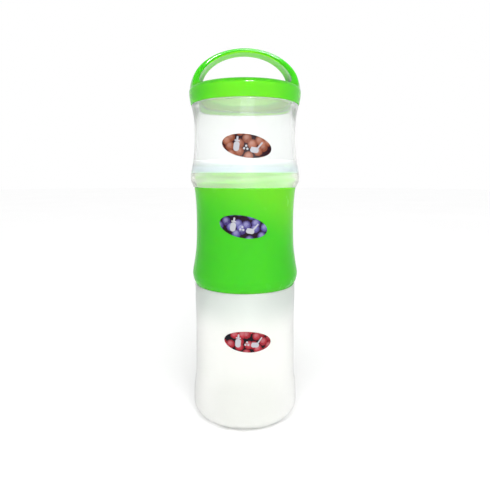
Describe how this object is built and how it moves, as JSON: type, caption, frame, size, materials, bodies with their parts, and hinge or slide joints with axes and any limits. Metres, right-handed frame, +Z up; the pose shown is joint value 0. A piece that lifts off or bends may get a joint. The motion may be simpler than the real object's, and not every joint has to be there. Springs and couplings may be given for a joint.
{
  "type": "formula dispenser",
  "caption": "Stack of screw-together containers for measured portions of milk powder, under a screw lid with an arched carrying handle.",
  "frame": {"origin": "centre of the base, on the surface that the stack stands on", "axes": "+Z up along the stack's axis; the handle's arch lies in the XZ plane; the labels face -Y"},
  "size_m": [0.0808, 0.0808, 0.27],
  "materials": {
    "clear_plastic": "clear, slightly milky moulded polypropylene, glossy",
    "green_plastic": "translucent bright green moulded polypropylene, satin gloss",
    "lid_plastic": "bright green moulded polypropylene, glossy",
    "silicone": "clear, slightly milky silicone, satin",
    "red_print": "glossy printed sticker, red berries",
    "violet_print": "glossy printed sticker, blue berries",
    "brown_print": "glossy printed sticker, brown and peach grains"
  },
  "bodies": {
    "bottom": {"bottom_container": "clear_plastic", "bottom_label": "red_print"},
    "middle_ring": {"middle_seal": "silicone"},
    "middle": {"middle_container": "green_plastic", "middle_label": "violet_print"},
    "top_ring": {"top_seal": "silicone"},
    "top": {"top_container": "clear_plastic", "top_label": "brown_print"},
    "lid_ring": {"lid_seal": "silicone"},
    "cap": {"lid": "lid_plastic"}
  },
  "joints": [
    {"name": "middle_lift", "type": "slide", "parent": "bottom", "child": "middle_ring", "axis": [0, 0, 1], "range_m": [0, 0.008]},
    {"name": "middle_turn", "type": "hinge", "parent": "middle_ring", "child": "middle", "pos_m": [0, 0, 0.108], "axis": [0, 0, 1], "range_deg": [0, 360]},
    {"name": "top_lift", "type": "slide", "parent": "middle", "child": "top_ring", "axis": [0, 0, 1], "range_m": [0, 0.008]},
    {"name": "top_turn", "type": "hinge", "parent": "top_ring", "child": "top", "pos_m": [0, 0, 0.18], "axis": [0, 0, 1], "range_deg": [0, 360]},
    {"name": "lid_lift", "type": "slide", "parent": "top", "child": "lid_ring", "axis": [0, 0, 1], "range_m": [0, 0.006]},
    {"name": "lid_turn", "type": "hinge", "parent": "lid_ring", "child": "cap", "pos_m": [0, 0, 0.237], "axis": [0, 0, 1], "range_deg": [0, 270]}
  ],
  "couplings": [
    {"joint": "middle_lift", "follows": "middle_turn", "m_per_rad": 0.0012732},
    {"joint": "top_lift", "follows": "top_turn", "m_per_rad": 0.0012732},
    {"joint": "lid_lift", "follows": "lid_turn", "m_per_rad": 0.0012732}
  ]
}
